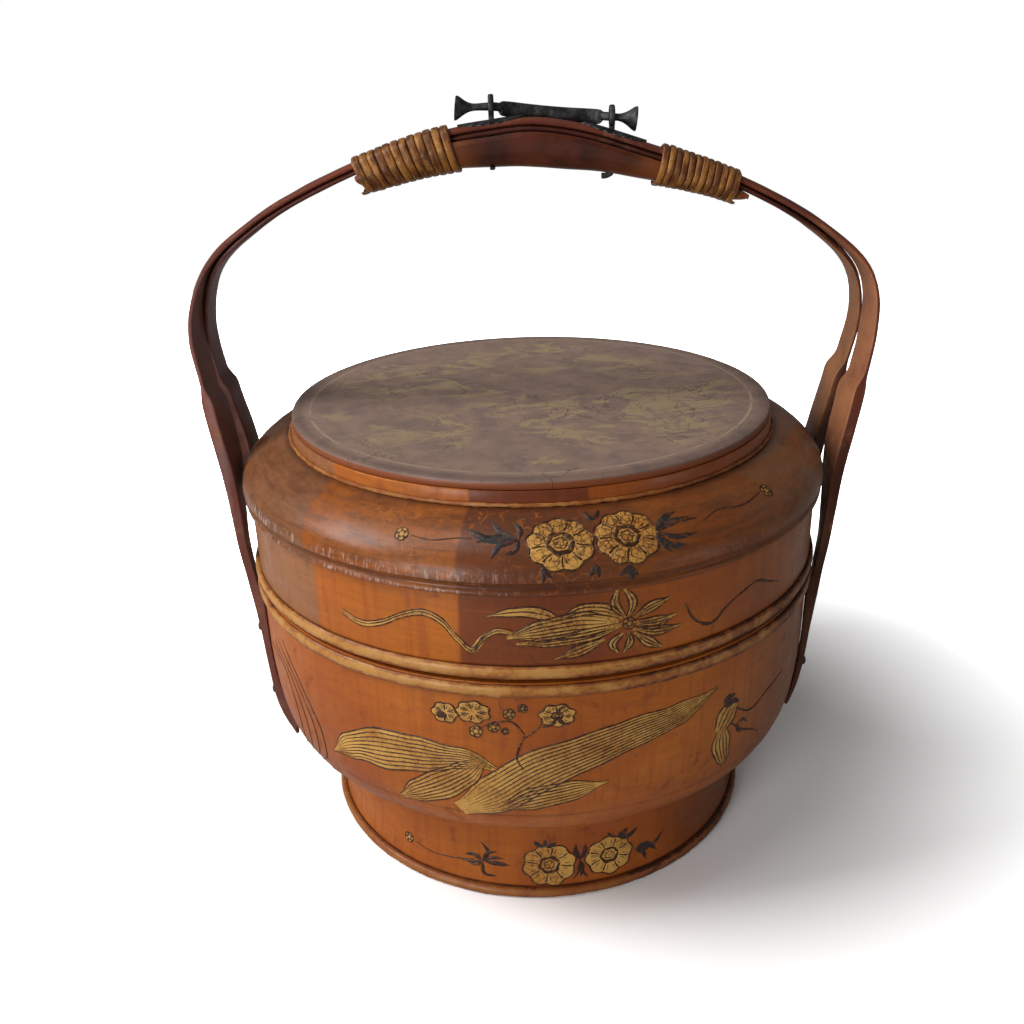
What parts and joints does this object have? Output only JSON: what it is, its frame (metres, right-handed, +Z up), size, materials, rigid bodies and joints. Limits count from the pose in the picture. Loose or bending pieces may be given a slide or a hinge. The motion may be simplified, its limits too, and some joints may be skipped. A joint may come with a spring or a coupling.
{
  "type": "lacquered food carrying basket",
  "caption": "Round lacquered food basket: a footed bowl, a tray and a shouldered lid that stack under a fixed arched handle of bent bamboo, with a bound grip and a small iron bail.",
  "frame": {"origin": "on the ground under the centre of the foot, which is within 2 mm of the middle of the box", "axes": "+X along the handle's span to the right, -Y to the front, +Z up"},
  "size_m": [0.3404, 0.3044, 0.3798],
  "materials": {
    "lacquer": "worn semi-gloss lacquer over bentwood",
    "board": "satin lacquered board",
    "gilt": "worn gilt over split bamboo",
    "top_paint": "matte worn paint",
    "bamboo": "semi-gloss lacquered bamboo",
    "rattan": "satin split rattan",
    "iron": "dark forged"
  },
  "bodies": {
    "base": {"foot_wall": "lacquer", "foot_hoop": "gilt", "bowl_wall": "lacquer", "bowl_floor": "board", "bowl_rim_bead": "gilt", "hoop_front": "bamboo", "hoop_back": "bamboo", "grip_bar": "bamboo", "binding_left": "rattan", "binding_right": "rattan", "leaf_plate_left": "iron", "leaf_plate_right": "iron", "eye_pin_left": "iron", "eye_pin_right": "iron", "strap_nail_front_left_upper": "iron", "strap_nail_front_left_lower": "iron", "strap_nail_front_right": "iron", "strap_nail_back_left_upper": "iron", "strap_nail_back_left_lower": "iron", "strap_nail_back_right": "iron"},
    "tray": {"tray_wall": "lacquer", "tray_floor": "board", "tray_bead": "gilt", "tray_lip": "board"},
    "lid": {"lid_shoulder": "lacquer", "lid_lip": "board", "lid_edge_band": "lacquer", "lid_top_board": "top_paint"},
    "bail": {"bail": "iron"}
  },
  "joints": [
    {"name": "tray_lift", "type": "slide", "parent": "base", "child": "tray", "axis": [0, 0, 1], "range_m": [0, 0.04]},
    {"name": "lid_lift", "type": "slide", "parent": "tray", "child": "lid", "axis": [0, 0, 1], "range_m": [0, 0.045]},
    {"name": "bail_swing", "type": "hinge", "parent": "base", "child": "bail", "pos_m": [0.01335, 0, 0.37112], "axis": [0.9942, 0, -0.1071], "range_deg": [0, 190]}
  ]
}
